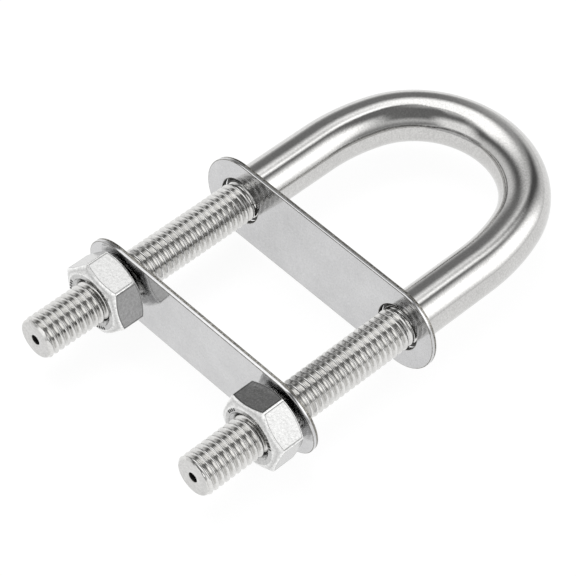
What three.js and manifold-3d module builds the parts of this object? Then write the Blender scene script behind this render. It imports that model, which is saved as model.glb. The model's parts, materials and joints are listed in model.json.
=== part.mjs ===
// U-bolt with two strap plates and two hexagon nuts.
//
// Millimetres, +Z up, lying flat: the two legs run along Y, side by side in X, and the arch
// is at the +Y end. The origin is on the clamping face of the inner plate, midway between the
// legs. The threads are real right-hand helices, and the nuts stand in mesh with them.

import * as THREE from 'three';
import { mergeVertices } from 'three/addons/utils/BufferGeometryUtils.js';
import Module from 'manifold-3d';

const wasm = await Module();
wasm.setup();

// ---- Driving dimensions, in millimetres and degrees -------------------------------------

// Bent bar
const legSpacing = 39; // between the two leg axes
const shoulderStep = 0.8; // how far the full bar stands out past the thread
const threadedLength = 48.5; // from the leg end to the shoulder where the full bar starts
const straightLength = 18.0; // full bar from the shoulder to the start of the bend
const crownTightening = 1.05; // how much tighter the crown is than half the leg spacing
const shoulderChamfer = 0.15;

// Thread, M8 coarse
const threadDiameter = 7.8;
const threadPitch = 1.25;
const threadDepthShare = 0.56; // of a pitch
const leftThreadStart = 162; // degrees about +Y, of the groove's start on each leg
const rightThreadStart = 84;
const crestShare = 0.18; // part of a pitch that the flat crest takes
const runOutLength = 2.6; // where the groove fades out in front of the shoulder
const legEndChamfer = 0.45;
const centreHoleDiameter = 1.9;
const centreHoleDepth = 1.6;

// Strap plates
const plateWidth = 16.5;
const plateThickness = 1.0;
const plateHolePlay = 0.6; // radial, over the thread: less than the shoulder's step
const plateEdgeBreak = 0.15;

// Nuts
const nutAcrossFlats = 13;
const nutHeight = 6.5;
const nutFaceShare = 0.87; // diameter of the flat bearing face over the across-flats size
const nutChamferAngle = 30;
const countersinkDepth = 0.6;
const leftNutTurn = 46.3; // of a hexagon corner, from +X towards +Z
const rightNutTurn = 13.7;

// How the loose pieces lie on the legs
const nutSetback = 12.45; // from the leg end to the outer face of the nut
const outerPlateTip = 5.1; // the plate leans back on the play in its holes
const outerPlateDrop = 0.5; // this and the next three are shares of the play in the holes
const outerPlateShift = -0.4;
const innerPlateLift = 0.66;
const innerPlateShift = 0.25;
const innerPlateTip = -2.7;

// Named clearances
const threadClearance = 0.2; // radial, between the nut's thread and the leg's
const seatClearance = 0.2; // between a plate and the nut face or shoulder that it leans on

// Facets
const threadSegments = 12; // straight steps in one turn of thread
const roundSegments = 20;
const holeSegments = 24;
const bendSteps = 36;

// ---- Sizes that follow from them --------------------------------------------------------

const legX = legSpacing / 2;
const crestRadius = threadDiameter / 2;
const barRadius = crestRadius + shoulderStep;
const threadDepth = threadPitch * threadDepthShare;
const rootRadius = crestRadius - threadDepth;
const plateHoleRadius = crestRadius + plateHolePlay;
const plateThrow = plateWidth / 2; // radius of the plate's round ends, centred on the legs
const nutFaceRadius = (nutAcrossFlats * nutFaceShare) / 2;
const nutCornerRadius = nutAcrossFlats / Math.sqrt(3);

const innerTip = THREE.MathUtils.degToRad(innerPlateTip);
const outerTip = THREE.MathUtils.degToRad(outerPlateTip);
const innerPlateBack = plateThickness / Math.cos(innerTip);
const shoulderY = innerPlateBack + barRadius * Math.tan(Math.abs(innerTip)) + seatClearance;
const legEndY = shoulderY - threadedLength;
const bendY = shoulderY + straightLength;
const nutOuterY = legEndY + nutSetback;
const nutInnerY = nutOuterY + nutHeight;
const nutReach = nutFaceRadius + outerPlateDrop * plateHolePlay;
const outerPlateY = nutInnerY + seatClearance + nutReach * Math.tan(Math.abs(outerTip));

// ---- Helpers ----------------------------------------------------------------------------

// A closed geometry as a solid that can be joined and cut.
function toSolid(geometry) {
  const plain = geometry.clone();
  plain.deleteAttribute('normal');
  plain.deleteAttribute('uv');
  const merged = mergeVertices(plain, 1e-5);
  const triangles = [];
  for (let i = 0; i < merged.index.count; i += 3) {
    const corners = [0, 1, 2].map((k) => merged.index.getX(i + k));
    if (new Set(corners).size === 3) triangles.push(...corners);
  }
  return new wasm.Manifold(
    new wasm.Mesh({
      numProp: 3,
      vertProperties: new Float32Array(merged.attributes.position.array),
      triVerts: new Uint32Array(triangles),
    }),
  );
}

function toGeometry(solid) {
  const mesh = solid.getMesh();
  const geometry = new THREE.BufferGeometry();
  geometry.setAttribute('position', new THREE.BufferAttribute(mesh.vertProperties, 3));
  geometry.setIndex(new THREE.BufferAttribute(mesh.triVerts, 1));
  geometry.computeVertexNormals();
  return geometry;
}

// A turned solid on the leg axis, from [radius, y] pairs that run from low y to high y.
function turned(profile, segments = roundSegments) {
  const points = profile.map(([radius, y]) => new THREE.Vector2(radius, y));
  return toSolid(new THREE.LatheGeometry(points, segments));
}

// A straight prism along Y between two heights, from an outline in X and Z.
function prismAlongY(outline, lowY, highY) {
  const geometry = new THREE.ExtrudeGeometry(outline, { depth: highY - lowY, bevelEnabled: false });
  geometry.rotateX(Math.PI / 2);
  geometry.translate(0, highY, 0);
  return toSolid(geometry);
}

function ringPoints(radius, count, startAngle = 0) {
  const points = [];
  for (let i = 0; i < count; i += 1) {
    const angle = startAngle + (2 * Math.PI * i) / count;
    points.push(new THREE.Vector2(radius * Math.cos(angle), radius * Math.sin(angle)));
  }
  return points;
}

// A rod on the Y axis with a right-hand helical thread. It reaches past both heights, so that
// whatever trims it gives clean ends. Its helix is the same at every height, so two rods with
// different play stand in mesh.
function threadedRod(lowY, highY, play, startDegrees) {
  const startAngle = THREE.MathUtils.degToRad(startDegrees);
  const crest = crestRadius + play;
  const root = rootRadius + play;
  const profile = [
    [0, crest],
    [crestShare, crest],
    [(1 + crestShare) / 2, root],
  ];
  const firstTurn = Math.floor(lowY / threadPitch) - 2;
  const lastTurn = Math.ceil(highY / threadPitch) + 2;
  const rows = (lastTurn - firstTurn) * profile.length;
  const positions = [];
  for (let row = 0; row < rows; row += 1) {
    const turn = firstTurn + Math.floor(row / profile.length);
    const [offset, radius] = profile[row % profile.length];
    for (let step = 0; step < threadSegments; step += 1) {
      // Right-hand about +Y: the height grows as the angle runs from Z towards X.
      const angle = startAngle + (2 * Math.PI * step) / threadSegments;
      const height = (turn + offset + step / threadSegments) * threadPitch;
      positions.push(radius * Math.sin(angle), height, radius * Math.cos(angle));
    }
  }
  // The last step of one row meets the first step of the row one turn further on.
  const vertex = (row, step) => {
    const wraps = step === threadSegments ? profile.length : 0;
    return (row + wraps) * threadSegments + (step % threadSegments);
  };
  const triangles = [];
  for (let step = 0; step < threadSegments; step += 1) {
    const topRow = step === threadSegments - 1 ? rows - 1 - profile.length : rows - 1;
    for (let row = 0; row < topRow; row += 1) {
      const a = vertex(row, step);
      const b = vertex(row, step + 1);
      const c = vertex(row + 1, step + 1);
      const d = vertex(row + 1, step);
      triangles.push(a, b, c, a, c, d);
    }
  }
  // Each end is a fan from the axis to the rim, which ends in the step of one turn.
  const closeEnd = (rim, height) => {
    const middle = positions.length / 3;
    positions.push(0, height, 0);
    rim.forEach((corner, i) => triangles.push(middle, rim[(i + 1) % rim.length], corner));
  };
  const lowRim = [];
  for (let step = 0; step < threadSegments; step += 1) lowRim.push(vertex(0, step));
  for (let row = profile.length; row > 0; row -= 1) lowRim.push(vertex(row, 0));
  closeEnd(lowRim, (firstTurn + 0.5) * threadPitch);
  const highRim = [];
  for (let row = rows - 1 - profile.length; row < rows - 1; row += 1) {
    highRim.push(vertex(row, threadSegments - 1));
  }
  for (let step = threadSegments - 1; step >= 0; step -= 1) highRim.push(vertex(rows - 1, step));
  closeEnd(highRim, (lastTurn - 0.5) * threadPitch);

  const geometry = new THREE.BufferGeometry();
  geometry.setAttribute('position', new THREE.Float32BufferAttribute(positions, 3));
  geometry.setIndex(triangles);
  return toSolid(geometry);
}

// ---- Bent bar with its threaded legs ----------------------------------------------------

// The centre line of the full bar: up one leg, round a bend of three arcs that is a little
// tighter at the crown than at the sides, and down the other leg.
function barCentreLine() {
  const sideRadius = 2 * legX;
  const crownRadius = legX - crownTightening;
  const sideCentreX = sideRadius - legX;
  const reach = sideRadius - crownRadius;
  const crownY = bendY + Math.sqrt(reach * reach - sideCentreX * sideCentreX);
  const sideAngle = Math.asin((crownY - bendY) / reach);
  const line = new THREE.Path();
  line.moveTo(legX, shoulderY);
  line.lineTo(legX, bendY);
  line.absarc(-sideCentreX, bendY, sideRadius, 0, sideAngle);
  line.absarc(0, crownY, crownRadius, sideAngle, Math.PI - sideAngle);
  line.absarc(sideCentreX, bendY, sideRadius, Math.PI - sideAngle, Math.PI);
  line.lineTo(-legX, shoulderY);
  return line;
}

class FlatCurve extends THREE.Curve {
  constructor(path) {
    super();
    this.path = path;
  }

  getPoint(t, target = new THREE.Vector3()) {
    const point = this.path.getPointAt(t);
    return target.set(point.x, point.y, 0);
  }
}

function bentBar() {
  const section = new THREE.Shape(ringPoints(barRadius, roundSegments));
  const geometry = new THREE.ExtrudeGeometry(section, {
    steps: bendSteps,
    extrudePath: new FlatCurve(barCentreLine()),
  });
  return toSolid(geometry);
}

function threadedLeg(startDegrees) {
  const overlap = shoulderChamfer;
  const envelope = turned([
    [0, legEndY],
    [crestRadius - legEndChamfer, legEndY],
    [crestRadius + threadClearance, legEndY + legEndChamfer + threadClearance],
    [crestRadius + threadClearance, shoulderY + overlap],
    [0, shoulderY + overlap],
  ]);
  const thread = threadedRod(legEndY, shoulderY, 0, startDegrees).intersect(envelope);
  const runOut = turned([
    [0, shoulderY - runOutLength],
    [rootRadius, shoulderY - runOutLength],
    [crestRadius, shoulderY - runOutLength / 4],
    [crestRadius, shoulderY + overlap],
    [0, shoulderY + overlap],
  ]);
  const centreRadius = centreHoleDiameter / 2;
  const centreHole = turned([
    [0, legEndY - centreHoleDepth],
    [centreRadius, legEndY - centreHoleDepth],
    [centreRadius, legEndY + centreHoleDepth],
    [0, legEndY + centreHoleDepth + centreRadius / 2],
  ], threadSegments);
  return thread.add(runOut).subtract(centreHole);
}

function uBoltGeometry() {
  let bolt = bentBar();
  const beyondBar = 2 * barRadius;
  // The cutter leaves a cone at the shoulder and takes the bar's sharp rim with it.
  const shoulderCutter = turned([
    [0, shoulderY - shoulderChamfer],
    [beyondBar, shoulderY - shoulderChamfer],
    [beyondBar, shoulderY + shoulderChamfer + beyondBar - barRadius],
    [barRadius - shoulderChamfer, shoulderY],
    [0, shoulderY],
  ]);
  for (const [x, startDegrees] of [[-legX, leftThreadStart], [legX, rightThreadStart]]) {
    bolt = bolt.subtract(shoulderCutter.translate([x, 0, 0]));
    bolt = bolt.add(threadedLeg(startDegrees).translate([x, 0, 0]));
  }
  return toGeometry(bolt);
}

// ---- Strap plates -----------------------------------------------------------------------

// The plate lies in X and Z, with its clamping or nut face at y = 0 and its body behind it.
// Its round ends are centred on the legs, and so are its holes.
function plateGeometry() {
  const outline = new THREE.Shape();
  outline.moveTo(-legX, -plateThrow);
  outline.lineTo(legX, -plateThrow);
  outline.absarc(legX, 0, plateThrow, -Math.PI / 2, Math.PI / 2);
  outline.lineTo(-legX, plateThrow);
  outline.absarc(-legX, 0, plateThrow, Math.PI / 2, (3 * Math.PI) / 2);
  for (const side of [-1, 1]) {
    const hole = ringPoints(plateHoleRadius, holeSegments);
    hole.forEach((point) => point.setX(point.x + side * legX));
    outline.holes.push(new THREE.Path(hole));
  }
  const geometry = new THREE.ExtrudeGeometry(outline, {
    depth: plateThickness - 2 * plateEdgeBreak,
    bevelThickness: plateEdgeBreak,
    bevelSize: plateEdgeBreak,
    bevelOffset: -plateEdgeBreak,
    bevelSegments: 1,
    curveSegments: holeSegments / 2,
  });
  geometry.rotateX(Math.PI / 2);
  geometry.translate(0, plateThickness - plateEdgeBreak, 0);
  return toGeometry(toSolid(geometry));
}

// ---- Nuts -------------------------------------------------------------------------------

// The nut stands on the leg axis at x = 0, at its real height, so that its thread is in mesh
// with the leg's. Both faces are chamfered to a round bearing face.
function nutGeometry(turnDegrees, startDegrees) {
  const cornerAngle = THREE.MathUtils.degToRad(turnDegrees);
  const hexagon = new THREE.Shape(ringPoints(nutCornerRadius, 6, cornerAngle));
  const prism = prismAlongY(hexagon, nutOuterY, nutInnerY);
  const slope = Math.tan(THREE.MathUtils.degToRad(nutChamferAngle));
  const widest = nutCornerRadius + threadClearance;
  const chamferHeight = (widest - nutFaceRadius) * slope;
  const chamfers = turned([
    [0, nutOuterY],
    [nutFaceRadius, nutOuterY],
    [widest, nutOuterY + chamferHeight],
    [widest, nutInnerY - chamferHeight],
    [nutFaceRadius, nutInnerY],
    [0, nutInnerY],
  ], holeSegments);
  const boreRadius = crestRadius + threadClearance;
  const sinkMouth = boreRadius + countersinkDepth;
  const countersink = (faceY, outward) => {
    const mouth = [sinkMouth, faceY + outward * countersinkDepth];
    const throat = [boreRadius - threadDepth, faceY - outward * (countersinkDepth + threadDepth)];
    const profile = [[0, mouth[1]], mouth, throat, [0, throat[1]]];
    return turned(outward > 0 ? profile.reverse() : profile);
  };
  const nut = prism
    .intersect(chamfers)
    .subtract(threadedRod(nutOuterY, nutInnerY, threadClearance, startDegrees))
    .subtract(countersink(nutOuterY, -1))
    .subtract(countersink(nutInnerY, 1));
  return toGeometry(nut);
}

// ---- Assembly ---------------------------------------------------------------------------

function piece(name, geometry, color, roughness) {
  const material = new THREE.MeshStandardMaterial({ color, roughness, metalness: 1 });
  const mesh = new THREE.Mesh(geometry, material);
  mesh.name = name;
  return mesh;
}

const uBoltAssembly = new THREE.Group();

uBoltAssembly.add(piece('u_bolt', uBoltGeometry(), 0xc9c8c6, 0.18));

const innerPlate = piece('inner_plate', plateGeometry(), 0xcccccf, 0.28);
innerPlate.rotation.x = innerTip;
innerPlate.translateX(innerPlateShift * plateHolePlay);
innerPlate.translateZ(innerPlateLift * plateHolePlay);
uBoltAssembly.add(innerPlate);

const outerPlate = piece('outer_plate', plateGeometry(), 0xcccccf, 0.28);
outerPlate.position.y = outerPlateY;
outerPlate.rotation.x = outerTip;
outerPlate.translateX(outerPlateShift * plateHolePlay);
outerPlate.translateZ(-outerPlateDrop * plateHolePlay);
uBoltAssembly.add(outerPlate);

const leftNut = piece('left_nut', nutGeometry(leftNutTurn, leftThreadStart), 0xc4c3c0, 0.25);
leftNut.position.x = -legX;
uBoltAssembly.add(leftNut);

const rightNut = piece('right_nut', nutGeometry(rightNutTurn, rightThreadStart), 0xc4c3c0, 0.25);
rightNut.position.x = legX;
uBoltAssembly.add(rightNut);

export default uBoltAssembly;
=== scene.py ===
"""The looks of a U-bolt with two strap plates and two nuts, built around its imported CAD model.

Metres, in the frame of the CAD part: the legs run along Y, the arch is at +Y, and Z is up.
"""
import json
import math

import bmesh
import bpy
import numpy as np
from mathutils import Matrix, Vector


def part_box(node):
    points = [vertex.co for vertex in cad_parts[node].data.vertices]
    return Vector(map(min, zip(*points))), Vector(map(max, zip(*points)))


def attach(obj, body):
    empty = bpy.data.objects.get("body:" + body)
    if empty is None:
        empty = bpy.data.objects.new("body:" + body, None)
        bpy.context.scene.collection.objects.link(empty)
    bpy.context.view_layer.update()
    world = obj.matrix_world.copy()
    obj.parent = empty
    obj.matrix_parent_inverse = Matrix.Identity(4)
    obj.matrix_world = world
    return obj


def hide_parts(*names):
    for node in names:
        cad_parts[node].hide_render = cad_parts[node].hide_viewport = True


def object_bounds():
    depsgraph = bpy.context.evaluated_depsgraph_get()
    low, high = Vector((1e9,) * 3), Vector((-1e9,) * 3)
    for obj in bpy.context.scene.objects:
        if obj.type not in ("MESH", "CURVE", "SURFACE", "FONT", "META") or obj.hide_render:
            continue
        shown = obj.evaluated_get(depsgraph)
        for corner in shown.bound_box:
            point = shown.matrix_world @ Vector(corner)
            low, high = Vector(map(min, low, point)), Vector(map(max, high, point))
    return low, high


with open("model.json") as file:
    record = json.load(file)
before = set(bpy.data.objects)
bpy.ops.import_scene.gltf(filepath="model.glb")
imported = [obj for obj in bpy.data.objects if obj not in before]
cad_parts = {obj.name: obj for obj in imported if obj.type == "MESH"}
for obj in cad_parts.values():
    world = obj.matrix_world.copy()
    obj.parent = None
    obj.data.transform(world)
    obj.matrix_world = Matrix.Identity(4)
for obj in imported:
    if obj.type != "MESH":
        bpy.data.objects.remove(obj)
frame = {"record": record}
cad_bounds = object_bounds()

MM = 0.001
TAU = 2 * math.pi

# ---- Sizes ------------------------------------------------------------------------------

# What the frame says
record = frame["record"]
mounts = {mount["name"]: mount for mount in record["mounts"]}
ratios = {pair["joint"]: pair["ratio"] for pair in record["behaviour"]["couplings"]}
bolt_low, bolt_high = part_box("u_bolt")
PITCH = ratios["outer_plate_slide"] * TAU
BAR_RADIUS = bolt_high.z
LEG_X = bolt_high.x - BAR_RADIUS
LEG_END_Y = bolt_low.y

# The bent bar and its thread
THREADED_LENGTH = 48.5 * MM
STRAIGHT_LENGTH = 18.0 * MM
CROWN_TIGHTENING = 1.05 * MM
CREST_RADIUS = BAR_RADIUS - 0.8 * MM
THREAD_DEPTH = 0.56 * PITCH
# Where the groove's wall starts and ends, from 0 at the crest's middle to 1 at the root's
GROOVE_WALL = (0.04, 0.94)
END_FACE_RADIUS = CREST_RADIUS - 0.45 * MM
LEAD_IN_LENGTH = 0.5 * MM
RUN_OUT_LENGTH = 2.6 * MM
LEFT_THREAD_START = 162 / 360
RIGHT_THREAD_START = 84 / 360
SHOULDER_Y = LEG_END_Y + THREADED_LENGTH
BEND_Y = SHOULDER_Y + STRAIGHT_LENGTH
DRILLED_WITHIN = 1.0 * MM

# The plates
PLATE_THICKNESS = 1.0 * MM
PLATE_HOLE_RADIUS = CREST_RADIUS + 0.6 * MM
HOLE_WALL_WITHIN = PLATE_HOLE_RADIUS + 0.02 * MM

# The nuts
ACROSS_FLATS = 13 * MM
CORNER_ROUNDING = 0.25 * MM
NUT_FACE_RADIUS = 0.87 * ACROSS_FLATS / 2
NUT_CHAMFER_SLOPE = math.tan(math.radians(30))
LEFT_NUT_TURN = math.radians(46.3)
RIGHT_NUT_TURN = math.radians(13.7)
NUT_THREAD_PLAY = 0.12 * MM
NUT_BORE_WITHIN = CREST_RADIUS + 0.2 * MM
COUNTERSINK_MOUTH = CREST_RADIUS + 0.8 * MM
EDGE_SOFTNESS = 0.06 * MM
RIM_WIDTH = 0.13 * MM
RIM_FADES_BY = 2.2 * RIM_WIDTH
TICK_GROUPS = 3
TICKS_PER_GROUP = 4
TICK_TURN_STEP = 0.13
TICK_SIZE = (0.55 * MM, 0.14 * MM, 0.2 * MM)
# How much painted highlight the edge of the face and the ends of a corner's arc get, next to 1 on the
# corner
FACE_EDGE_GLINT = 0.6
CORNER_END_GLINT = 0.3

# Fineness
STEPS_AROUND = 64
ROWS_PER_PITCH = 12
PLATE_END_STEPS = 73
PLATE_SIDE_STEPS = 14
HOLE_STEPS = 96
NUT_ARC_STEPS = 6
NUT_FLAT_SHARES = (0.02, 0.045, 0.12, 0.3, 0.5, 0.7, 0.88, 0.955, 0.98)
MERGE_DISTANCE = 0.0015 * MM
PLACE_TOLERANCE = 0.001 * MM
CREASE_ANGLE = math.radians(32)
THREAD_CREASE_ANGLE = math.radians(50)
FLAT_FACE_WEIGHT = 80


# ---- Node trees -------------------------------------------------------------------------

class Tree:
    """A node tree with short calls for making nodes and joining them."""

    def __init__(self, tree):
        self.tree = tree
        self.nodes = tree.nodes
        self.links = tree.links

    @classmethod
    def group(cls, name, kind, inputs, outputs):
        tree = bpy.data.node_groups.new(name, kind)
        for label, socket_type, value in inputs:
            socket = tree.interface.new_socket(label, in_out="INPUT", socket_type=socket_type)
            if value is not None:
                socket.default_value = value
        for label, socket_type in outputs:
            tree.interface.new_socket(label, in_out="OUTPUT", socket_type=socket_type)
        made = cls(tree)
        made.given = tree.nodes.new("NodeGroupInput").outputs
        made.result = tree.nodes.new("NodeGroupOutput").inputs
        return made

    def put(self, socket, value):
        if isinstance(value, bpy.types.NodeSocket):
            self.links.new(value, socket)
        elif value is not None:
            socket.default_value = value

    def node(self, kind, inputs=None, **settings):
        made = self.nodes.new(kind)
        for name, value in settings.items():
            setattr(made, name, value)
        for name, value in (inputs or {}).items():
            self.put(made.inputs[name], value)
        return made

    def math(self, operation, *values, clamp=False):
        made = self.nodes.new("ShaderNodeMath")
        made.operation = operation
        made.use_clamp = clamp
        for socket, value in zip(made.inputs, values):
            self.put(socket, value)
        return made.outputs[0]

    def map(self, value, low, high, to_low=0.0, to_high=1.0, smooth=False):
        made = self.nodes.new("ShaderNodeMapRange")
        if smooth:
            made.interpolation_type = "SMOOTHSTEP"
        for name, given in (
            ("Value", value), ("From Min", low), ("From Max", high),
            ("To Min", to_low), ("To Max", to_high),
        ):
            self.put(made.inputs[name], given)
        return made.outputs["Result"]

    def mix(self, share, first, second, blend="MIX"):
        made = self.nodes.new("ShaderNodeMix")
        made.data_type = "RGBA"
        made.blend_type = blend
        self.put(made.inputs["Factor"], share)
        self.put(made.inputs[6], first)
        self.put(made.inputs[7], second)
        return made.outputs[2]


def run_geometry(name, tree, values):
    """The plain mesh that a geometry tree makes with these values for its named inputs."""
    holder = bpy.data.objects.new(name, bpy.data.meshes.new(name))
    bpy.context.scene.collection.objects.link(holder)
    modifier = holder.modifiers.new(name, "NODES")
    modifier.node_group = tree
    for item in tree.interface.items_tree:
        if item.name in values and item.in_out == "INPUT":
            modifier[item.identifier] = values[item.name]
    depsgraph = bpy.context.evaluated_depsgraph_get()
    mesh = bpy.data.meshes.new_from_object(holder.evaluated_get(depsgraph))
    holder.modifiers.remove(modifier)
    bpy.data.objects.remove(holder)
    return mesh


def helical_thread_tree():
    """A thread as a closed ring of helical rows. Every row keeps one place in the profile while
    it climbs, so crests and roots are clean lines. Rows past either end fold onto its rim."""
    t = Tree.group("Helical thread", "GeometryNodeTree", [
        ("Axis X", "NodeSocketFloat", 0.0),
        ("Low End", "NodeSocketFloat", 0.0),
        ("High End", "NodeSocketFloat", 0.01),
        ("Pitch", "NodeSocketFloat", 0.00125),
        ("Crest Radius", "NodeSocketFloat", 0.004),
        ("Thread Depth", "NodeSocketFloat", 0.0007),
        ("Start Turn", "NodeSocketFloat", 0.0),
        ("Lead In Length", "NodeSocketFloat", 0.0002),
        ("Run Out Length", "NodeSocketFloat", 0.0002),
        ("Low Rim Radius", "NodeSocketFloat", 0.003),
        ("High Rim Radius", "NodeSocketFloat", 0.004),
        ("Rim Slope", "NodeSocketFloat", 1.0),
        ("Inside", "NodeSocketBool", False),
        ("Steps Around", "NodeSocketInt", 64),
        ("Rows Per Pitch", "NodeSocketInt", 12),
        ("Material", "NodeSocketMaterial", None),
    ], [("Geometry", "NodeSocketGeometry")])
    given = t.given
    pitch = given["Pitch"]
    steps = given["Steps Around"]
    rows_per_pitch = given["Rows Per Pitch"]
    low = given["Low End"]
    high = given["High End"]

    # One column more than the steps, so that the last one closes on the first. A few turns more
    # than the length holds, so that both ends are covered wherever the thread starts.
    columns = t.math("ADD", steps, 1.0)
    first_turn = t.math("SUBTRACT", t.math("FLOOR", t.math("DIVIDE", low, pitch)), 2.0)
    last_turn = t.math("ADD", t.math("CEIL", t.math("DIVIDE", high, pitch)), 3.0)
    turns = t.math("SUBTRACT", last_turn, first_turn)
    rows = t.math("ADD", t.math("MULTIPLY", turns, rows_per_pitch), 1.0)
    grid = t.node("GeometryNodeMeshGrid", {"Vertices X": rows, "Vertices Y": columns})
    index = t.node("GeometryNodeInputIndex").outputs[0]
    row = t.math("FLOOR", t.math("DIVIDE", t.math("ADD", index, 0.5), columns))
    column = t.math("SUBTRACT", index, t.math("MULTIPLY", row, columns))

    row_turn = t.math("DIVIDE", row, rows_per_pitch)
    round_share = t.math("DIVIDE", column, steps)
    climbed = t.math("SUBTRACT", t.math("ADD", row_turn, round_share), given["Start Turn"])
    free_height = t.math("MULTIPLY", t.math("ADD", first_turn, climbed), pitch)
    height = t.math("MINIMUM", t.math("MAXIMUM", free_height, low), high)

    # Distance from the middle of the crest, 0 there and 1 at the middle of the root
    crest_middle = t.math("DIVIDE", 0.5, rows_per_pitch)
    shifted = t.math("ADD", t.math("SUBTRACT", row_turn, crest_middle), 0.5)
    from_middle = t.math("ABSOLUTE", t.math("SUBTRACT", t.math("FRACT", shifted), 0.5))
    from_crest = t.math("MULTIPLY", from_middle, 2.0)
    groove = t.map(from_crest, *GROOVE_WALL, smooth=True)
    lead_in = t.math("DIVIDE", t.math("SUBTRACT", height, low), given["Lead In Length"], clamp=True)
    run_out = t.math("DIVIDE", t.math("SUBTRACT", high, height), given["Run Out Length"], clamp=True)
    cut = t.math("MULTIPLY", groove, given["Thread Depth"])
    cut = t.math("MULTIPLY", cut, t.math("MULTIPLY", lead_in, run_out))
    radius = t.math("SUBTRACT", given["Crest Radius"], cut)

    # The rims are cones: they cut an outside thread down and open an inside one out.
    above_low = t.math("MULTIPLY", t.math("SUBTRACT", height, low), given["Rim Slope"])
    below_high = t.math("MULTIPLY", t.math("SUBTRACT", high, height), given["Rim Slope"])
    outside = t.math("MINIMUM", radius, t.math("ADD", given["Low Rim Radius"], above_low))
    outside = t.math("MINIMUM", outside, t.math("ADD", given["High Rim Radius"], below_high))
    inside = t.math("MAXIMUM", radius, t.math("SUBTRACT", given["Low Rim Radius"], above_low))
    inside = t.math("MAXIMUM", inside, t.math("SUBTRACT", given["High Rim Radius"], below_high))
    trimmed = t.node("GeometryNodeSwitch", input_type="FLOAT", inputs={
        "Switch": given["Inside"], "False": outside, "True": inside,
    }).outputs[0]

    angle = t.math("MULTIPLY", round_share, TAU)
    across = t.math("MULTIPLY", trimmed, t.math("SINE", angle))
    place = t.node("ShaderNodeCombineXYZ", {
        "X": t.math("ADD", given["Axis X"], across),
        "Y": height,
        "Z": t.math("MULTIPLY", trimmed, t.math("COSINE", angle)),
    }).outputs[0]
    wound = t.node("GeometryNodeSetPosition", {"Geometry": grid.outputs["Mesh"], "Position": place})
    sealed = t.node("GeometryNodeMergeByDistance", {
        "Geometry": wound.outputs[0], "Distance": MERGE_DISTANCE,
    })
    real = t.node("GeometryNodeRealizeInstances", {"Geometry": sealed.outputs[0]})
    painted = t.node("GeometryNodeSetMaterial", {
        "Geometry": real.outputs[0], "Material": given["Material"],
    })
    t.links.new(painted.outputs[0], t.result["Geometry"])
    return t.tree


# ---- Mesh helpers -----------------------------------------------------------------------

def ring(centre, across, radius, count=STEPS_AROUND):
    """Points round a centre, from straight up towards the across direction."""
    turn = np.arange(count) * TAU / count
    up = np.array([0.0, 0.0, 1.0])
    around = np.outer(np.sin(turn), across) + np.outer(np.cos(turn), up)
    return np.asarray(centre) + radius * around


def join_rings(rings, closed_tip=False):
    """A mesh of quads between rings of the same count, and one face over the last ring if its
    tip is closed."""
    count = len(rings[0])
    vertices = np.concatenate(rings)
    faces = []
    for level in range(len(rings) - 1):
        for step in range(count):
            after = (step + 1) % count
            low = level * count
            high = low + count
            faces.append((low + step, low + after, high + after, high + step))
    if closed_tip:
        last = (len(rings) - 1) * count
        faces.append(tuple(range(last, last + count)))
    mesh = bpy.data.meshes.new("rings")
    mesh.from_pydata(vertices.tolist(), [], faces)
    return mesh


def merge_meshes(meshes):
    """One mesh whose coincident rims are sealed, with its faces pointing out."""
    shell = bmesh.new()
    for mesh in meshes:
        shell.from_mesh(mesh)
    bmesh.ops.remove_doubles(shell, verts=shell.verts, dist=MERGE_DISTANCE)
    bmesh.ops.recalc_face_normals(shell, faces=shell.faces)
    return shell


def finished(name, shell, materials, crease=CREASE_ANGLE):
    """An object from a bmesh, with smooth surfaces, creases at its sharp edges, and normals
    that keep the flat faces flat."""
    mesh = bpy.data.meshes.new(name)
    shell.to_mesh(mesh)
    shell.free()
    for material in materials:
        mesh.materials.append(material)
    mesh.shade_smooth()
    mesh.set_sharp_from_angle(angle=crease)
    piece = bpy.data.objects.new(name, mesh)
    bpy.context.scene.collection.objects.link(piece)
    modifier = piece.modifiers.new("flat_faces", "WEIGHTED_NORMAL")
    modifier.keep_sharp = True
    modifier.weight = FLAT_FACE_WEIGHT
    depsgraph = bpy.context.evaluated_depsgraph_get()
    final = bpy.data.meshes.new_from_object(piece.evaluated_get(depsgraph))
    piece.modifiers.clear()
    piece.data = final
    final.name = name
    return piece


# ---- The bent bar -----------------------------------------------------------------------

def bend_stations():
    """Centre points and outward directions along the bar, from the right shoulder round the
    bend to the left one. The bend is three arcs, a little tighter at the crown."""
    side_radius = 2 * LEG_X
    crown_radius = LEG_X - CROWN_TIGHTENING
    side_x = side_radius - LEG_X
    reach = side_radius - crown_radius
    crown_y = BEND_Y + math.sqrt(reach ** 2 - side_x ** 2)
    side_angle = math.asin((crown_y - BEND_Y) / reach)
    stations = []
    for y in np.linspace(SHOULDER_Y + SHOULDER_PROFILE[-1][1], BEND_Y, STRAIGHT_STEPS)[1:-1]:
        stations.append(((LEG_X, y, 0.0), (1.0, 0.0, 0.0)))
    arcs = (
        (-side_x, BEND_Y, side_radius, 0.0, side_angle, SIDE_BEND_STEPS),
        (0.0, crown_y, crown_radius, side_angle, math.pi - side_angle, CROWN_STEPS),
        (side_x, BEND_Y, side_radius, math.pi - side_angle, math.pi, SIDE_BEND_STEPS),
    )
    for centre_x, centre_y, radius, start, end, steps in arcs:
        for angle in np.linspace(start, end, steps, endpoint=False):
            across = (math.cos(angle), math.sin(angle), 0.0)
            centre = (centre_x + radius * across[0], centre_y + radius * across[1], 0.0)
            stations.append((centre, across))
    for y in np.linspace(BEND_Y, SHOULDER_Y + SHOULDER_PROFILE[-1][1], STRAIGHT_STEPS)[:-1]:
        stations.append(((-LEG_X, y, 0.0), (-1.0, 0.0, 0.0)))
    return stations


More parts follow.
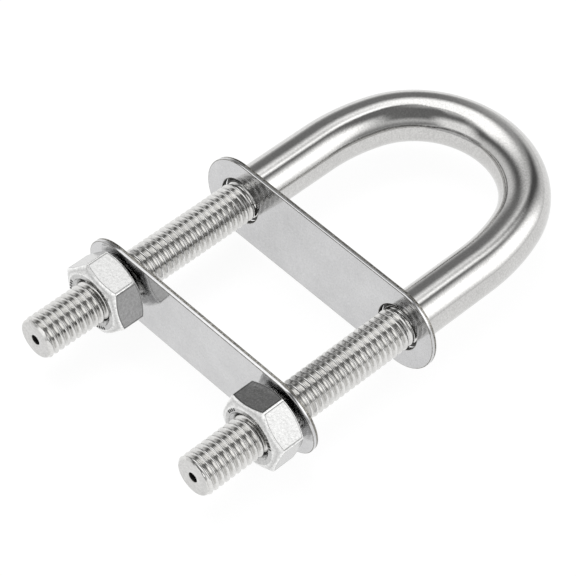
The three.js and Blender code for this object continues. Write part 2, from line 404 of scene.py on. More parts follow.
# Radius and height above the shoulder's face, from the thread out to the full bar
SHOULDER_PROFILE = (
    (CREST_RADIUS, 0.0),
    (CREST_RADIUS + 0.25 * MM, 0.0),
    (BAR_RADIUS - 0.15 * MM, 0.0),
    (BAR_RADIUS - 0.05 * MM, 0.04 * MM),
    (BAR_RADIUS, 0.15 * MM),
    (BAR_RADIUS, 0.4 * MM),
)
# Height above the shoulder's face up to which the steel gets the painted shade of the near-black
# recess material
SHADED_SHOULDER = 0.16 * MM
STRAIGHT_STEPS = 8
SIDE_BEND_STEPS = 10
CROWN_STEPS = 64


def bar_mesh():
    right = [ring((LEG_X, SHOULDER_Y + y, 0), (1, 0, 0), r) for r, y in SHOULDER_PROFILE]
    left = [ring((-LEG_X, SHOULDER_Y + y, 0), (-1, 0, 0), r) for r, y in SHOULDER_PROFILE]
    bend = [ring(centre, across, BAR_RADIUS) for centre, across in bend_stations()]
    return join_rings(right + bend + left[::-1])


# Radius and depth of the leg's end face and its drilled centre, from the rim inwards
LEG_END_PROFILE = (
    (END_FACE_RADIUS, 0.0),
    (END_FACE_RADIUS - 0.12 * MM, 0.0),
    (2.0 * MM, 0.0),
    (1.05 * MM, 0.0),
    (0.97 * MM, 0.05 * MM),
    (0.93 * MM, 0.16 * MM),
    (0.9 * MM, 2.2 * MM),
    (0.5 * MM, 2.5 * MM),
)


def leg_end_mesh(x):
    rings = [ring((x, LEG_END_Y + depth, 0), (1, 0, 0), r) for r, depth in LEG_END_PROFILE]
    return join_rings(rings, closed_tip=True)


def leg_thread_mesh(x, start_turn):
    return run_geometry("leg_thread", thread_tree, {
        "Axis X": x,
        "Low End": LEG_END_Y,
        "High End": SHOULDER_Y,
        "Pitch": PITCH,
        "Crest Radius": CREST_RADIUS,
        "Thread Depth": THREAD_DEPTH,
        "Start Turn": start_turn,
        "Lead In Length": LEAD_IN_LENGTH,
        "Run Out Length": RUN_OUT_LENGTH,
        "Low Rim Radius": END_FACE_RADIUS,
        "High Rim Radius": CREST_RADIUS,
        "Steps Around": STEPS_AROUND,
        "Rows Per Pitch": ROWS_PER_PITCH,
        "Material": thread_steel,
    })


def make_u_bolt():
    shell = merge_meshes([
        bar_mesh(),
        leg_end_mesh(-LEG_X),
        leg_end_mesh(LEG_X),
        leg_thread_mesh(-LEG_X, LEFT_THREAD_START),
        leg_thread_mesh(LEG_X, RIGHT_THREAD_START),
    ])
    for face in shell.faces:
        middle = face.calc_center_median()
        from_axis = math.hypot(abs(middle.x) - LEG_X, middle.z)
        on_shoulder = abs(middle.y - SHOULDER_Y) < SHADED_SHOULDER and from_axis > CREST_RADIUS
        drilled = from_axis < DRILLED_WITHIN and middle.y < SHOULDER_Y
        threaded = LEG_END_Y + PLACE_TOLERANCE < middle.y < SHOULDER_Y
        # Index 2, the near-black steel, paints shade into the drilled centres and the shoulders'
        # faces.
        face.material_index = 2 if drilled or on_shoulder else int(threaded)
    # The faces' material indices point into this list.
    materials = [polished_steel, thread_steel, recess_shade_steel]
    return finished("bent_bar", shell, materials, THREAD_CREASE_ANGLE)


# ---- The plates -------------------------------------------------------------------------

def stadium(reach):
    """Points round a stadium outline with its two centres on the legs, as (x, z) pairs."""
    right = np.linspace(-math.pi / 2, math.pi / 2, PLATE_END_STEPS)
    left = right + math.pi
    straight = np.linspace(LEG_X, -LEG_X, PLATE_SIDE_STEPS)[1:-1]
    points = [(LEG_X + reach * math.cos(a), reach * math.sin(a)) for a in right]
    points += [(x, reach) for x in straight]
    points += [(-LEG_X + reach * math.cos(a), reach * math.sin(a)) for a in left]
    points += [(-x, -reach) for x in straight]
    return np.array(points)


def circle(x, radius):
    turn = np.arange(HOLE_STEPS) * TAU / HOLE_STEPS
    return np.column_stack([x + radius * np.cos(turn), radius * np.sin(turn)])


# Inset and height of the sheared edge, in shares of the thickness from the face that the
# punch met: a rolled-over corner, a burnished band, a small step, and the torn part
SHEARED_EDGE = (
    (0.17, 0.0), (0.105, 0.012), (0.055, 0.04), (0.02, 0.09), (0.004, 0.15), (0.0, 0.22),
    (0.0, 0.5), (0.012, 0.53), (0.035, 0.56), (0.04, 0.62), (0.04, 0.9),
    (0.05, 0.95), (0.075, 0.985), (0.12, 1.0),
)
ROLLED_TO = 0.03
TORN_FROM = 0.535
# The wall of a punched hole, in the same shares: its inset is how far it opens out
PUNCHED_HOLE = ((0.1, 0.0), (0.05, 0.015), (0.015, 0.05), (0.0, 0.1), (0.0, 0.93), (0.06, 1.0))


def wall_rings(profile, outline_at):
    """Rings of a plate's wall: the outline for each inset, at each height."""
    rings = []
    for inset, share in profile:
        height = (share - 0.5) * PLATE_THICKNESS
        rings.append(np.insert(outline_at(inset * PLATE_THICKNESS), 1, height, axis=1))
    return rings


def make_plate(name, node, face_axis):
    """A stadium plate with sheared edges and punched holes, where the CAD plate lies."""
    low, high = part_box(node)
    reach = (high.x - low.x) / 2 - LEG_X
    shell = merge_meshes([
        join_rings(wall_rings(SHEARED_EDGE, lambda inset: stadium(reach - inset))),
        join_rings(wall_rings(PUNCHED_HOLE, lambda inset: circle(LEG_X, PLATE_HOLE_RADIUS + inset))),
        join_rings(wall_rings(PUNCHED_HOLE, lambda inset: circle(-LEG_X, PLATE_HOLE_RADIUS + inset))),
    ])
    for face in shell.faces:
        middle = face.calc_center_median()
        in_hole = math.hypot(abs(middle.x) - LEG_X, middle.z) < HOLE_WALL_WITHIN
        share = middle.y / PLATE_THICKNESS + 0.5
        torn = share > TORN_FROM or share < ROLLED_TO
        # Index 2 paints shade onto the hole walls with the near-black steel.
        face.material_index = 2 if in_hole else int(torn)
    for side in (-1, 1):
        rims = [e for e in shell.edges if e.is_boundary and e.verts[0].co.y * side > 0]
        bmesh.ops.triangle_fill(shell, edges=rims, use_beauty=True, normal=(0, side, 0))
    bmesh.ops.recalc_face_normals(shell, faces=shell.faces)
    tip = math.atan(face_axis[2] / face_axis[1])
    place = Matrix.Translation((low + high) / 2) @ Matrix.Rotation(tip, 4, "X")
    shell.transform(place)
    return finished(name, shell, [plate_steel, torn_steel, recess_shade_steel])


# ---- The nuts ---------------------------------------------------------------------------

def rounded_hexagon(turn):
    """Points round a hexagon whose corners are small arcs, as (x, z) pairs."""
    apothem = ACROSS_FLATS / 2
    corner_distance = (apothem - CORNER_ROUNDING) / math.cos(math.radians(30))
    corners = []
    for side in range(6):
        middle = turn + side * TAU / 6
        arc = []
        for angle in np.linspace(middle - TAU / 12, middle + TAU / 12, NUT_ARC_STEPS + 1):
            x = corner_distance * math.cos(middle) + CORNER_ROUNDING * math.cos(angle)
            z = corner_distance * math.sin(middle) + CORNER_ROUNDING * math.sin(angle)
            arc.append((x, z))
        corners.append(arc)
    points = []
    for side in range(6):
        points += corners[side]
        start = np.array(corners[side][-1])
        end = np.array(corners[(side + 1) % 6][0])
        for share in NUT_FLAT_SHARES:
            points.append(tuple(start + (end - start) * share))
    return np.array(points)


def nut_shell_mesh(low, high, turn):
    """The outside of a nut, from the rim of one bore round to the rim of the other. The
    chamfer is a true cone, so it meets each flat in a curve that dips at the corners. The
    edge attribute is 1 on the corners, which get a painted highlight, -1 on the rim of each
    flat, which gets a painted dark line, and 0 on the faces."""
    outline = rounded_hexagon(turn)
    reach = np.hypot(outline[:, 0], outline[:, 1])
    direction = outline / reach[:, None]
    rise = (reach - NUT_FACE_RADIUS) * NUT_CHAMFER_SLOPE
    corner = [CORNER_END_GLINT] + [1.0] * (NUT_ARC_STEPS - 1) + [CORNER_END_GLINT]
    inside_rim = [0.0] * (len(NUT_FLAT_SHARES) - 2)
    on_flat = np.tile(corner + [-1.0] + inside_rim + [-1.0], 6)
    on_rim = np.tile(corner + [-1.0] * len(NUT_FLAT_SHARES), 6)
    flat = 0 * reach
    soft = EDGE_SOFTNESS
    # Radius, height and edge value of each row, from the bore's rim to the flats
    half = [
        (flat + COUNTERSINK_MOUTH, flat, flat),
        (flat + NUT_FACE_RADIUS - soft - RIM_WIDTH, flat, flat),
        (flat + NUT_FACE_RADIUS - soft, flat, flat + FACE_EDGE_GLINT),
        (flat + NUT_FACE_RADIUS + soft, flat + soft * NUT_CHAMFER_SLOPE, flat + FACE_EDGE_GLINT),
        ((NUT_FACE_RADIUS + reach) / 2, rise / 2, flat),
        (reach - soft, rise - soft * NUT_CHAMFER_SLOPE, flat + 1),
        (reach, rise + soft, flat + 1),
        (reach, rise + soft + RIM_WIDTH, on_rim),
        (reach, rise + soft + RIM_FADES_BY, on_flat),
    ]
    centre_x = (low.x + high.x) / 2
    rings = []
    edge_paint = []
    for radius, height, share in half:
        rings.append((radius, low.y + height))
        edge_paint.append(share)
    for radius, height, share in reversed(half):
        rings.append((radius, high.y - height))
        edge_paint.append(share)
    placed = []
    for radius, y in rings:
        x = centre_x + direction[:, 0] * radius
        z = direction[:, 1] * radius
        placed.append(np.column_stack([x, y, z]))
    mesh = join_rings(placed)
    mesh.attributes.new("edge", "FLOAT", "POINT").data.foreach_set("value", np.concatenate(edge_paint))
    return mesh


def nut_bore_mesh(low, high, start_turn):
    return run_geometry("nut_bore", thread_tree, {
        "Axis X": (low.x + high.x) / 2,
        "Low End": low.y,
        "High End": high.y,
        "Pitch": PITCH,
        "Crest Radius": CREST_RADIUS + NUT_THREAD_PLAY,
        "Thread Depth": THREAD_DEPTH,
        "Start Turn": start_turn,
        "Low Rim Radius": COUNTERSINK_MOUTH,
        "High Rim Radius": COUNTERSINK_MOUTH,
        "Inside": True,
        "Steps Around": 6 * (NUT_ARC_STEPS + 1 + len(NUT_FLAT_SHARES)),
        "Rows Per Pitch": ROWS_PER_PITCH,
        "Material": recess_shade_steel,
    })


def raised_ticks_tree():
    """Short raised bars round an axis, each pointing outwards, in evenly spaced groups."""
    t = Tree.group("Raised ticks", "GeometryNodeTree", [
        ("Axis X", "NodeSocketFloat", 0.0),
        ("Face Y", "NodeSocketFloat", 0.0),
        ("Ring Radius", "NodeSocketFloat", 0.005),
        ("First Turn", "NodeSocketFloat", 0.0),
        ("Turn Step", "NodeSocketFloat", 0.2),
        ("Groups", "NodeSocketInt", 3),
        ("Ticks Per Group", "NodeSocketInt", 4),
        ("Tick Size", "NodeSocketVector", (0.001, 0.0002, 0.0002)),
        ("Material", "NodeSocketMaterial", None),
    ], [("Geometry", "NodeSocketGeometry")])
    given = t.given
    per_group = given["Ticks Per Group"]
    count = t.math("MULTIPLY", given["Groups"], per_group)
    spots = t.node("GeometryNodeMeshLine", {"Count": count}).outputs[0]
    index = t.node("GeometryNodeInputIndex").outputs[0]
    group = t.math("FLOOR", t.math("DIVIDE", t.math("ADD", index, 0.5), per_group))
    in_group = t.math("SUBTRACT", index, t.math("MULTIPLY", group, per_group))
    group_turn = t.math("MULTIPLY", group, t.math("DIVIDE", TAU, given["Groups"]))
    turn = t.math("ADD", group_turn, t.math("MULTIPLY", in_group, given["Turn Step"]))
    turn = t.math("ADD", turn, given["First Turn"])
    across = t.math("MULTIPLY", given["Ring Radius"], t.math("COSINE", turn))
    place = t.node("ShaderNodeCombineXYZ", {
        "X": t.math("ADD", given["Axis X"], across),
        "Y": given["Face Y"],
        "Z": t.math("MULTIPLY", given["Ring Radius"], t.math("SINE", turn)),
    }).outputs[0]
    placed = t.node("GeometryNodeSetPosition", {"Geometry": spots, "Position": place})
    bar = t.node("GeometryNodeMeshCube", {"Size": given["Tick Size"]}).outputs[0]
    twist = t.node("ShaderNodeCombineXYZ", {"Y": t.math("MULTIPLY", turn, -1.0)}).outputs[0]
    bars = t.node("GeometryNodeInstanceOnPoints", {
        "Points": placed.outputs[0], "Instance": bar, "Rotation": twist,
    })
    real = t.node("GeometryNodeRealizeInstances", {"Geometry": bars.outputs[0]})
    painted = t.node("GeometryNodeSetMaterial", {
        "Geometry": real.outputs[0], "Material": given["Material"],
    })
    t.links.new(painted.outputs[0], t.result["Geometry"])
    return t.tree


def nut_ticks_mesh(axis_x, face_y, turn):
    """Small raised ticks on a nut's outer face, between the countersink and the chamfer."""
    return run_geometry("nut_ticks", ticks_tree, {
        "Axis X": axis_x,
        "Face Y": face_y,
        "Ring Radius": (COUNTERSINK_MOUTH + NUT_FACE_RADIUS) / 2,
        "First Turn": turn,
        "Turn Step": TICK_TURN_STEP,
        "Groups": TICK_GROUPS,
        "Ticks Per Group": TICKS_PER_GROUP,
        "Tick Size": TICK_SIZE,
        "Material": nut_steel,
    })


def make_nut(name, node, turn, start_turn):
    """A nut whose outside and threaded bore are bridged at both rims, with ticks on its face."""
    low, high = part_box(node)
    shell = merge_meshes([nut_shell_mesh(low, high, turn)])
    shell.from_mesh(nut_bore_mesh(low, high, start_turn))
    middle_y = (low.y + high.y) / 2
    for low_side in (True, False):
        rims = [e for e in shell.edges if e.is_boundary]
        rims = [e for e in rims if (e.verts[0].co.y < middle_y) == low_side]
        bmesh.ops.bridge_loops(shell, edges=rims)
    bmesh.ops.recalc_face_normals(shell, faces=shell.faces)
    centre_x = (low.x + high.x) / 2
    for face in shell.faces:
        middle = face.calc_center_median()
        from_axis = math.hypot(middle.x - centre_x, middle.z)
        # Index 1 paints shade into the bore with the near-black steel.
        face.material_index = int(from_axis < NUT_BORE_WITHIN)
    shell.from_mesh(nut_ticks_mesh(centre_x, low.y, turn))
    return finished(name, shell, [nut_steel, recess_shade_steel])


# ---- Shader groups ----------------------------------------------------------------------

def steel_cloud_group():
    """Slow and fine mottling of polished steel: a value round 0.5."""
    t = Tree.group("Steel cloud", "ShaderNodeTree", [
        ("Cloud Size", "NodeSocketFloat", 12.0),
        ("Speckle Size", "NodeSocketFloat", 0.6),
        ("Speckle Share", "NodeSocketFloat", 0.4),
    ], [("Value", "NodeSocketFloat"), ("Speckle", "NodeSocketFloat")])
    place = t.node("ShaderNodeTexCoord").outputs["Object"]
    cloud = t.node("ShaderNodeTexNoise", {
        "Vector": place,
        "Scale": t.math("DIVIDE", 1000.0, t.given["Cloud Size"]),
        "Detail": 3.0,
        "Roughness": 0.55,
    }).outputs[0]
    speckle = t.node("ShaderNodeTexNoise", {
        "Vector": place,
        "Scale": t.math("DIVIDE", 1000.0, t.given["Speckle Size"]),
        "Detail": 2.0,
        "Roughness": 0.7,
    }).outputs[0]
    share = t.given["Speckle Share"]
    kept = t.math("MULTIPLY", cloud, t.math("SUBTRACT", 1.0, share))
    value = t.math("ADD", kept, t.math("MULTIPLY", speckle, share))
    t.links.new(value, t.result["Value"])
    t.links.new(speckle, t.result["Speckle"])
    return t.tree


def fine_lines_group():
    """Fine drawn or rolled lines: noise that is stretched along one direction."""
    t = Tree.group("Fine lines", "ShaderNodeTree", [
        ("Line Width", "NodeSocketFloat", 0.15),
        ("Stretch", "NodeSocketVector", (1.0, 0.04, 1.0)),
    ], [("Height", "NodeSocketFloat")])
    place = t.node("ShaderNodeTexCoord").outputs["Object"]
    drawn = t.node("ShaderNodeVectorMath", operation="MULTIPLY")
    t.links.new(place, drawn.inputs[0])
    t.links.new(t.given["Stretch"], drawn.inputs[1])
    lines = t.node("ShaderNodeTexNoise", {
        "Vector": drawn.outputs[0],
        "Scale": t.math("DIVIDE", 1000.0, t.given["Line Width"]),
        "Detail": 2.0,
        "Roughness": 0.6,
    }).outputs[0]
    t.links.new(lines, t.result["Height"])
    return t.tree


def edge_shade_group():
    """How near a rounded edge the surface is: 1 on the edge, 0 on the flats."""
    t = Tree.group("Edge shade", "ShaderNodeTree", [
        ("Reach", "NodeSocketFloat", 0.0003),
        ("Unevenness", "NodeSocketFloat", 0.5),
    ], [("Mask", "NodeSocketFloat")])
    rounded = t.node("ShaderNodeBevel", {"Radius": t.given["Reach"]}, samples=4).outputs[0]
    flat = t.node("ShaderNodeNewGeometry").outputs["Normal"]
    alike = t.node("ShaderNodeVectorMath", operation="DOT_PRODUCT")
    t.links.new(rounded, alike.inputs[0])
    t.links.new(flat, alike.inputs[1])
    edge = t.map(alike.outputs["Value"], 0.995, 0.9)
    place = t.node("ShaderNodeTexCoord").outputs["Object"]
    noise = t.node("ShaderNodeTexNoise", {"Vector": place, "Scale": 900.0, "Detail": 3.0}).outputs[0]
    uneven = t.math("MULTIPLY", t.math("SUBTRACT", noise, 0.5), t.given["Unevenness"])
    edge_mask = t.math("MULTIPLY", edge, t.math("ADD", 1.0, uneven), clamp=True)
    t.links.new(edge_mask, t.result["Mask"])
    return t.tree


def thread_roots_group():
    """How deep in a leg's thread the surface is: 0 on the crests, up to Strength at the roots."""
    t = Tree.group("Thread roots", "ShaderNodeTree", [
        ("Leg Distance", "NodeSocketFloat", LEG_X),
        ("Root Radius", "NodeSocketFloat", CREST_RADIUS - THREAD_DEPTH),
        ("Crest Radius", "NodeSocketFloat", CREST_RADIUS),
        ("Strength", "NodeSocketFloat", 0.35),
    ], [("Mask", "NodeSocketFloat")])
    place = t.node("ShaderNodeTexCoord").outputs["Object"]
    parts = t.node("ShaderNodeSeparateXYZ", {0: place}).outputs
    across = t.math("SUBTRACT", t.math("ABSOLUTE", parts["X"]), t.given["Leg Distance"])
    squares = t.math("ADD", t.math("POWER", across, 2.0), t.math("POWER", parts["Z"], 2.0))
    depth = t.map(t.math("SQRT", squares), t.given["Crest Radius"], t.given["Root Radius"])
    mask = t.math("MULTIPLY", t.math("POWER", depth, 2.0), t.given["Strength"], clamp=True)
    t.links.new(mask, t.result["Mask"])
    return t.tree


# ---- Materials --------------------------------------------------------------------------

# How the mottling, a noise round 0.5, is spread over colour, gloss and the painted highlights and
# dark lines on a nut's edges
DARK_CLOUD = 0.88
MOTTLING_SPAN = (0.35, 0.65)
GLOSS_SPAN = (0.3, 0.7)
EDGE_PAINT_SPAN = (0.3, 0.6)
EDGE_PAINT_SHARES = (0.35, 1.0)
SPECKLE_HEIGHT_SHARE = 0.5
# Roughness added in a thread's roots, on a plate's edge and on a nut's corners
ROOTS_DULLED = 0.15
EDGE_DULLED = 0.06
CORNERS_DULLED = 0.04


def steel(name, colour, roughness, gloss_drift, cloud_size, speckle_size, speckle_depth,
          line_width, line_stretch, line_height, root_shade_colour=None, edge_reach=None,
          painted_edge_colour=None, rim_shade_colour=None):
    """Stainless steel whose colour and gloss drift with the mottling, with fine lines in its
    surface. A thread's roots get a painted shade, a plate's edge within a reach a painted dark
    line, a nut's corners a painted highlight and its rims a painted dark line. Mottling and
    lines are sized in millimetres."""
    material = bpy.data.materials.new(name)
    material.use_nodes = True
    material.node_tree.nodes.clear()
    t = Tree(material.node_tree)
    shader = t.node("ShaderNodeBsdfPrincipled", {"Metallic": 1.0})
    output = t.node("ShaderNodeOutputMaterial")
    t.links.new(shader.outputs[0], output.inputs["Surface"])

    cloud = t.node("ShaderNodeGroup", node_tree=steel_cloud)
    cloud.inputs["Cloud Size"].default_value = cloud_size
    cloud.inputs["Speckle Size"].default_value = speckle_size
    lines = t.node("ShaderNodeGroup", node_tree=fine_lines)
    lines.inputs["Line Width"].default_value = line_width
    lines.inputs["Stretch"].default_value = line_stretch

    dark = tuple(part * DARK_CLOUD for part in colour) + (1.0,)
    drift = t.map(cloud.outputs["Value"], *MOTTLING_SPAN)
    base = t.mix(drift, dark, tuple(colour) + (1.0,))
    speckled = t.map(
        cloud.outputs["Speckle"], *MOTTLING_SPAN, 1.0 - speckle_depth, 1.0 + speckle_depth,
    )
    base = t.mix(1.0, base, speckled, "MULTIPLY")
    gloss = t.map(
        cloud.outputs["Value"], *GLOSS_SPAN, roughness - gloss_drift, roughness + gloss_drift,
    )
    if root_shade_colour:
        # Painted shade: the thread's roots are darkened towards the root colour.
        groove = t.node("ShaderNodeGroup", node_tree=thread_roots)
        base = t.mix(groove.outputs["Mask"], base, tuple(root_shade_colour) + (1.0,))
        gloss = t.math("ADD", gloss, t.math("MULTIPLY", groove.outputs["Mask"], ROOTS_DULLED))
    if edge_reach:
        # Painted shade: a dark line on a plate's rounded edges, towards the edge colour.
        edge_band = t.node("ShaderNodeGroup", node_tree=edge_shade)
        edge_band.inputs["Reach"].default_value = edge_reach
        base = t.mix(edge_band.outputs["Mask"], base, tuple(painted_edge_colour) + (1.0,))
        gloss = t.math("ADD", gloss, t.math("MULTIPLY", edge_band.outputs["Mask"], EDGE_DULLED))
    if rim_shade_colour:
        # Painted highlight on a nut's corners, towards the edge colour, and painted dark lines on the
        # rims of its flats, towards the rim colour.
        edge = t.node("ShaderNodeAttribute", attribute_name="edge").outputs["Fac"]
        uneven = t.map(cloud.outputs["Speckle"], *EDGE_PAINT_SPAN, *EDGE_PAINT_SHARES)
        share = t.math("MULTIPLY", t.math("MAXIMUM", edge, 0.0), uneven)
        base = t.mix(share, base, tuple(painted_edge_colour) + (1.0,))
        rim = t.math("MULTIPLY", t.math("MAXIMUM", t.math("MULTIPLY", edge, -1.0), 0.0), uneven)
        base = t.mix(rim, base, tuple(rim_shade_colour) + (1.0,))
        gloss = t.math("ADD", gloss, t.math("MULTIPLY", share, CORNERS_DULLED))
    t.put(shader.inputs["Base Color"], base)
    t.put(shader.inputs["Roughness"], gloss)

    speckle_height = t.math("MULTIPLY", cloud.outputs["Speckle"], SPECKLE_HEIGHT_SHARE)
    height = t.math("ADD", lines.outputs["Height"], speckle_height)
    bump = t.node("ShaderNodeBump", {"Strength": 1.0, "Distance": line_height, "Height": height})
    t.links.new(bump.outputs[0], shader.inputs["Normal"])
    return material


steel_cloud = steel_cloud_group()
fine_lines = fine_lines_group()
edge_shade = edge_shade_group()
thread_roots = thread_roots_group()
thread_tree = helical_thread_tree()
ticks_tree = raised_ticks_tree()

polished_steel = steel(
    "polished_steel", colour=(0.62, 0.615, 0.605), roughness=0.07, gloss_drift=0.03,
    cloud_size=9.0, speckle_size=0.35, speckle_depth=0.07,
    line_width=0.35, line_stretch=(1.0, 0.7, 1.0), line_height=0.005 * MM,
)
# Painted light: lighter than the polished steel of the same bar, to brighten the threads.
thread_steel = steel(
    "thread_steel", colour=(0.77, 0.765, 0.75), roughness=0.085, gloss_drift=0.035,
    cloud_size=2.5, speckle_size=0.3, speckle_depth=0.06,
    line_width=0.15, line_stretch=(0.5, 1.0, 0.5), line_height=0.002 * MM,
    # Painted shade in the thread's roots.
    root_shade_colour=(0.16, 0.155, 0.145),
)
plate_steel = steel(
    "plate_steel", colour=(0.62, 0.62, 0.625), roughness=0.11, gloss_drift=0.03,
    cloud_size=7.0, speckle_size=0.35, speckle_depth=0.03,
    line_width=0.25, line_stretch=(0.4, 1.0, 1.0), line_height=0.0015 * MM,
    # Painted shade: a dark line along the plate's rounded edges.
    edge_reach=0.15 * MM, painted_edge_colour=(0.4, 0.39, 0.37),
)
torn_steel = steel(
    "torn_steel", colour=(0.24, 0.232, 0.212), roughness=0.3, gloss_drift=0.08,
    cloud_size=1.2, speckle_size=0.35, speckle_depth=0.5,
    line_width=0.3, line_stretch=(1.0, 0.4, 1.0), line_height=0.04 * MM,
)
nut_steel = steel(
    "nut_steel", colour=(0.56, 0.56, 0.555), roughness=0.17, gloss_drift=0.06,
    cloud_size=0.8, speckle_size=0.4, speckle_depth=0.08,
    line_width=0.45, line_stretch=(1.0, 0.8, 1.0), line_height=0.02 * MM,
    # Painted highlight on the corners and painted dark lines on the flats' rims.
    painted_edge_colour=(1.0, 1.0, 0.99), rim_shade_colour=(0.05, 0.05, 0.048),
)
# Near-black steel as painted shade in recesses: the bores, the plates' hole walls, the drilled
# centres and the shoulders' faces.
recess_shade_steel = steel(
    "recess_shade_steel", colour=(0.09, 0.088, 0.085), roughness=0.35, gloss_drift=0.06,
    cloud_size=2.0, speckle_size=0.3, speckle_depth=0.1,
    line_width=0.12, line_stretch=(0.3, 1.0, 0.3), line_height=0.002 * MM,
)


# ---- The object -------------------------------------------------------------------------

def take_place(piece, node):
    """The piece stands for its CAD node and moves with the body of the same name."""
    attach(piece, node)
    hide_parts(node)


take_place(make_u_bolt(), "u_bolt")
take_place(
    make_plate("inner_strap", "inner_plate", mounts["inner_clamping_face"]["axis"]),
    "inner_plate",
)
take_place(
    make_plate("outer_strap", "outer_plate", mounts["outer_clamping_face"]["axis"]),
    "outer_plate",
)
take_place(
    make_nut("left_hex_nut", "left_nut", LEFT_NUT_TURN, LEFT_THREAD_START), "left_nut",
)
take_place(
    make_nut("right_hex_nut", "right_nut", RIGHT_NUT_TURN, RIGHT_THREAD_START),
    "right_nut",
)


# ---- Studio -----------------------------------------------------------------------------

FLOOR_SIZE = 4.0
FLOOR_SHADE = 0.13
FLOOR_GLOW = 0.92


def make_floor():
    half = FLOOR_SIZE / 2
    mesh = bpy.data.meshes.new("studio_floor")
    corners = [(-half, -half, 0), (half, -half, 0), (half, half, 0), (-half, half, 0)]
    mesh.from_pydata(corners, [], [(0, 1, 2, 3)])
    mesh.transform(Matrix.Translation((0, 0, cad_bounds[0].z)))
    floor = bpy.data.objects.new("studio_floor", mesh)
    bpy.context.scene.collection.objects.link(floor)
    material = bpy.data.materials.new("pale_floor")
    material.use_nodes = True
    shader = material.node_tree.nodes["Principled BSDF"]
    shader.inputs["Base Color"].default_value = (FLOOR_SHADE, FLOOR_SHADE, FLOOR_SHADE, 1)
    shader.inputs["Roughness"].default_value = 0.9
    shader.inputs["Specular IOR Level"].default_value = 0.0
    shader.inputs["Emission Color"].default_value = (1, 1, 1, 1)
    shader.inputs["Emission Strength"].default_value = FLOOR_GLOW
    mesh.materials.append(material)


def studio_card_group():
    """A soft-edged panel in the studio's surroundings: its mask over all directions.
    Azimuth is from +Y towards +X, and all sizes are in degrees."""
    t = Tree.group("Studio card", "ShaderNodeTree", [
        ("Azimuth", "NodeSocketFloat", 0.0),
        ("Elevation", "NodeSocketFloat", 0.0),
        ("Card Azimuth", "NodeSocketFloat", 0.0),
        ("Card Elevation", "NodeSocketFloat", 0.0),
        ("Half Width", "NodeSocketFloat", 30.0),
        ("Half Height", "NodeSocketFloat", 20.0),
        ("Softness", "NodeSocketFloat", 10.0),
    ], [("Mask", "NodeSocketFloat")])
    given = t.given
    turned = t.math("SUBTRACT", given["Azimuth"], given["Card Azimuth"])
    share = t.math("FRACT", t.math("ADD", t.math("DIVIDE", turned, 360.0), 0.5))
    sideways = t.math("MULTIPLY", t.math("SUBTRACT", share, 0.5), 360.0)
    upward = t.math("SUBTRACT", given["Elevation"], given["Card Elevation"])
    half_soft = t.math("MULTIPLY", given["Softness"], 0.5)
    mask = 1.0
    for offset, half_size in ((sideways, "Half Width"), (upward, "Half Height")):
        past = t.math("SUBTRACT", t.math("ABSOLUTE", offset), given[half_size])
        inside = t.map(past, t.math("MULTIPLY", half_soft, -1.0), half_soft, 1, 0, True)
        mask = t.math("MULTIPLY", mask, inside)
    t.links.new(mask, t.result["Mask"])
    return t.tree


WALL_BRIGHTNESS = 0.82
CARD_SOFTNESS = 24
# White panels and black flags hung round the object, each over the ones before it:
# azimuth, elevation, half width and half height in degrees, and brightness
STUDIO_CARDS = {
    "back_left_flag": (-50, 45, 20, 40, 0.25),
    "left_flag": (-110, 40, 50, 15, 0.15),
    "overhead_panel": (-75, 75, 60, 25, 1.75),
    "overhead_flag": (85, 65, 90, 20, 0.2),
    "camera_side_flag": (145, 50, 60, 20, 0.2),
    "back_flag": (-10, 40, 15, 20, 0.1),
    "right_panel": (45, 30, 25, 20, 2.0),
    "front_panel": (175, 25, 25, 20, 1.2),
    "low_right_flag": (110, 10, 45, 10, 0.3),
    "nut_top_panel": (-5, 65, 10, 10, 2.2),
}


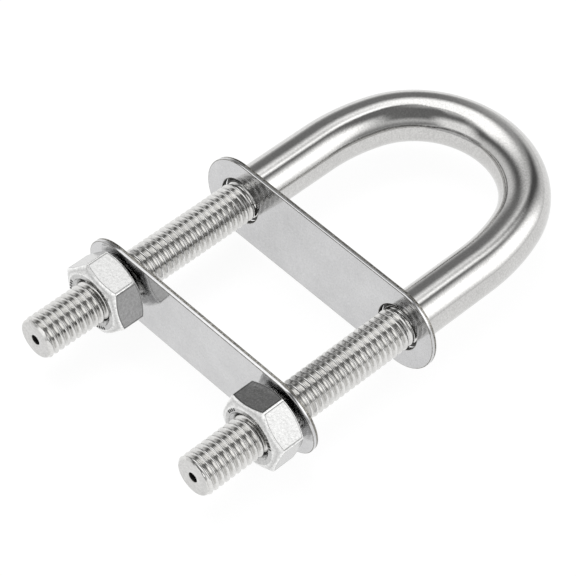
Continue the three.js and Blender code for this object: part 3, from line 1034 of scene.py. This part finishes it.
def make_surroundings():
    world = bpy.data.worlds.new("soft_studio")
    bpy.context.scene.world = world
    world.use_nodes = True
    world.node_tree.nodes.clear()
    t = Tree(world.node_tree)
    direction = t.node("ShaderNodeTexCoord").outputs["Generated"]
    parts = t.node("ShaderNodeSeparateXYZ", {0: direction}).outputs
    azimuth = t.math("DEGREES", t.math("ARCTAN2", parts["X"], parts["Y"]))
    elevation = t.math("DEGREES", t.math("ARCSINE", parts["Z"]))
    card_group = studio_card_group()
    light = (WALL_BRIGHTNESS,) * 3 + (1.0,)
    places = ("Card Azimuth", "Card Elevation", "Half Width", "Half Height")
    for name, (*sizes, brightness) in STUDIO_CARDS.items():
        card = t.node("ShaderNodeGroup", node_tree=card_group, label=name)
        card.inputs["Softness"].default_value = CARD_SOFTNESS
        t.links.new(azimuth, card.inputs["Azimuth"])
        t.links.new(elevation, card.inputs["Elevation"])
        for place, value in zip(places, sizes):
            card.inputs[place].default_value = value
        light = t.mix(card.outputs["Mask"], light, (brightness,) * 3 + (1.0,))
    background = t.node("ShaderNodeBackground", {"Color": light, "Strength": 1.0})
    output = t.node("ShaderNodeOutputWorld")
    t.links.new(background.outputs[0], output.inputs["Surface"])


KEY_LIGHT_PLACE = Vector((-0.5, 0.15, 0.9))
KEY_LIGHT_SIZE = (0.7, 0.5)
KEY_LIGHT_POWER = 3.0


def make_key_light():
    lamp = bpy.data.lights.new("key_light", "AREA")
    lamp.shape = "RECTANGLE"
    lamp.size, lamp.size_y = KEY_LIGHT_SIZE
    lamp.energy = KEY_LIGHT_POWER
    holder = bpy.data.objects.new("key_light", lamp)
    bpy.context.scene.collection.objects.link(holder)
    holder.location = KEY_LIGHT_PLACE
    holder.rotation_euler = (-KEY_LIGHT_PLACE).to_track_quat("-Z", "Y").to_euler()
    holder.visible_camera = False
    holder.visible_glossy = False


# ---- Camera -----------------------------------------------------------------------------

CAMERA_TARGET = Vector((0.7, -7.5, 0.0)) * MM
CAMERA_DISTANCE = 478.8 * MM
CAMERA_AZIMUTH = math.radians(43.55)
CAMERA_ELEVATION = math.radians(49.22)
CAMERA_ROLL = math.radians(3.31)
CAMERA_LENS = 174.4


def make_camera():
    data = bpy.data.cameras.new("camera")
    data.lens = CAMERA_LENS
    data.sensor_width = 36.0
    data.clip_start = 0.01
    camera = bpy.data.objects.new("camera", data)
    bpy.context.scene.collection.objects.link(camera)
    level = math.cos(CAMERA_ELEVATION)
    back = Vector((
        level * math.sin(CAMERA_AZIMUTH),
        -level * math.cos(CAMERA_AZIMUTH),
        math.sin(CAMERA_ELEVATION),
    ))
    camera.location = CAMERA_TARGET + back * CAMERA_DISTANCE
    aim = back.to_track_quat("Z", "Y").to_matrix().to_4x4()
    roll = Matrix.Rotation(CAMERA_ROLL, 4, "Z")
    camera.rotation_euler = (aim @ roll).to_euler()
    bpy.context.scene.camera = camera


make_floor()
make_surroundings()
make_key_light()
make_camera()
bpy.context.scene.view_settings.view_transform = "Standard"
